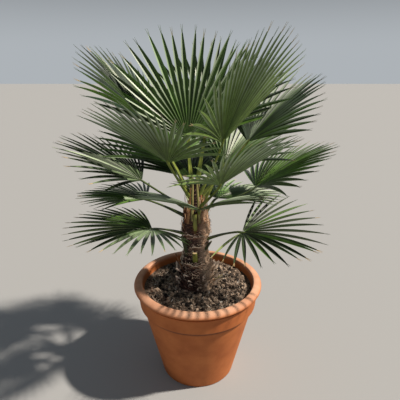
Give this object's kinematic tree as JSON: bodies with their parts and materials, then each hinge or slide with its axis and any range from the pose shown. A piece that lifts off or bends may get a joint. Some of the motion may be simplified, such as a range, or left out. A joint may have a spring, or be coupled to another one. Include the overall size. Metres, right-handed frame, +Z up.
{
  "type": "potted dwarf fan palm",
  "caption": "Short fan palm with a fibrous trunk and stiff pleated fronds on thin stalks, planted in a round clay pot with a rolled lip.",
  "frame": {"origin": "centre of the pot's flat underside, where it stands", "axes": "+Z up along the pot and trunk; -Y is the side that faces the viewer in the picture, +X is to the viewer's right"},
  "size_m": [0.8842, 0.8166, 1.2097],
  "materials": {
    "terracotta": "matte",
    "compost": "matte",
    "fibre": "matte",
    "stalk": "satin",
    "leaf": "satin"
  },
  "bodies": {
    "root": {"pot": "terracotta", "compost": "compost", "trunk": "fibre", "stalk_top_centre": "stalk", "stalk_top_right": "stalk", "stalk_left_front": "stalk", "stalk_right_front": "stalk", "stalk_right_upper": "stalk", "stalk_left_mid": "stalk", "stalk_right_mid": "stalk", "stalk_low_right": "stalk", "stalk_low_left": "stalk", "stalk_up_left": "stalk", "stalk_left_back": "stalk", "stalk_front": "stalk", "stalk_top_back": "stalk", "stalk_back_left": "stalk", "stalk_back_right": "stalk", "stalk_back": "stalk", "stalk_low_back": "stalk", "frond_top_centre": "leaf", "frond_top_right": "leaf", "frond_left_front": "leaf", "frond_right_front": "leaf", "frond_right_upper": "leaf", "frond_left_mid": "leaf", "frond_right_mid": "leaf", "frond_low_right": "leaf", "frond_low_left": "leaf", "frond_up_left": "leaf", "frond_left_back": "leaf", "frond_front": "leaf", "frond_top_back": "leaf", "frond_back_left": "leaf", "frond_back_right": "leaf", "frond_back": "leaf", "frond_low_back": "leaf"}
  },
  "joints": []
}
